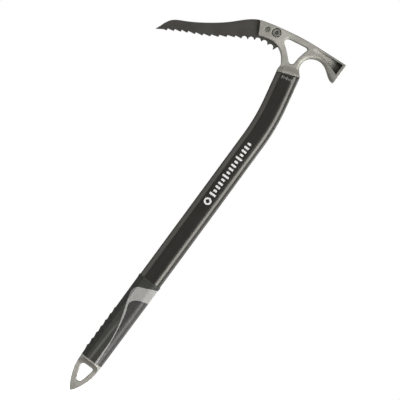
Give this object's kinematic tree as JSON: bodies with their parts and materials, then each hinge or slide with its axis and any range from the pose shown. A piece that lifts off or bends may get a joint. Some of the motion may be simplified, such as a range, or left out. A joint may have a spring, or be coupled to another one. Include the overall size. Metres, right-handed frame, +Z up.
{
  "type": "technical ice axe",
  "caption": "Ice axe with a toothed steel pick, a cast head with a hammer, a bent aluminium shaft, a moulded rubber grip and an eyed spike.",
  "frame": {"origin": "the tip of the spike, on the axis of the straight lower shaft", "axes": "+Z up the lower shaft towards the head, -X towards the pick, +X towards the hammer, Y across the thickness"},
  "size_m": [0.2082, 0.0238, 0.5043],
  "materials": {
    "cast_steel": "satin investment-cast stainless steel",
    "pick_steel": "dark matt coated alloy steel",
    "fastener_steel": "dull stainless steel",
    "shaft_aluminium": "satin black anodised aluminium",
    "grip_black": "moulded matt rubber",
    "grip_silver": "moulded satin silver-grey rubber",
    "grip_grey": "moulded matt grey rubber",
    "adhesive": "cured adhesive",
    "print_white": "matt printed mark"
  },
  "bodies": {
    "root": {"head_casting": "cast_steel", "spike_casting": "cast_steel", "pick": "pick_steel", "pick_bolt": "fastener_steel", "pick_nut": "fastener_steel", "pick_pin": "fastener_steel", "shaft_tube": "shaft_aluminium", "head_pin_upper": "fastener_steel", "head_pin_lower": "fastener_steel", "spike_pin_upper": "fastener_steel", "spike_pin_lower": "fastener_steel", "head_bond": "adhesive", "spike_bond": "adhesive", "grip_front": "grip_black", "grip_band": "grip_silver", "grip_rear": "grip_grey"}
  },
  "joints": []
}
